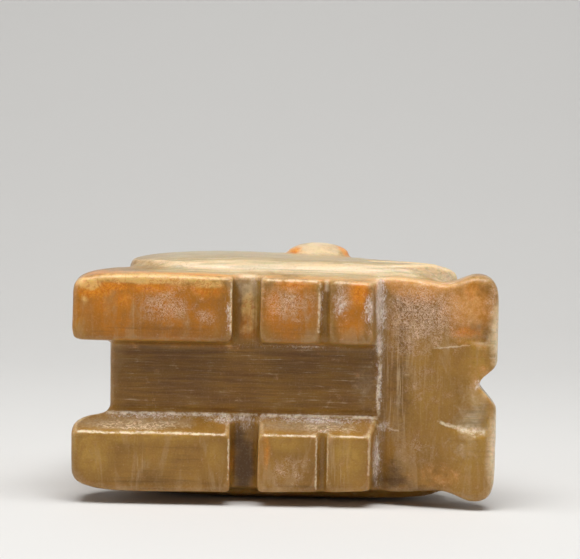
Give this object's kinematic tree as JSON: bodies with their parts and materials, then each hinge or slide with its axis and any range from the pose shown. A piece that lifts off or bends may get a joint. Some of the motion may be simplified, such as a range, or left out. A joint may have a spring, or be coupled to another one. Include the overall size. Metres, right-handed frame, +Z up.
{
  "type": "bird carving",
  "caption": "Small crouching bird carved in the round from one jade pebble, with folded wings, blocky grooved feet and a forked tail; stands on its soles or lies on its flank.",
  "frame": {"origin": "under the middle of the carving, on the surface that its right flank lies on", "axes": "+X from the toes to the tail, -Y out of the soles, +Z up, out of the left flank"},
  "size_m": [0.0502, 0.0324, 0.0302],
  "materials": {
    "jade": "waxy polished nephrite, honey-brown to olive and cream, with orange and white weathering"
  },
  "bodies": {
    "root": {"bird_carving": "jade"}
  },
  "joints": []
}
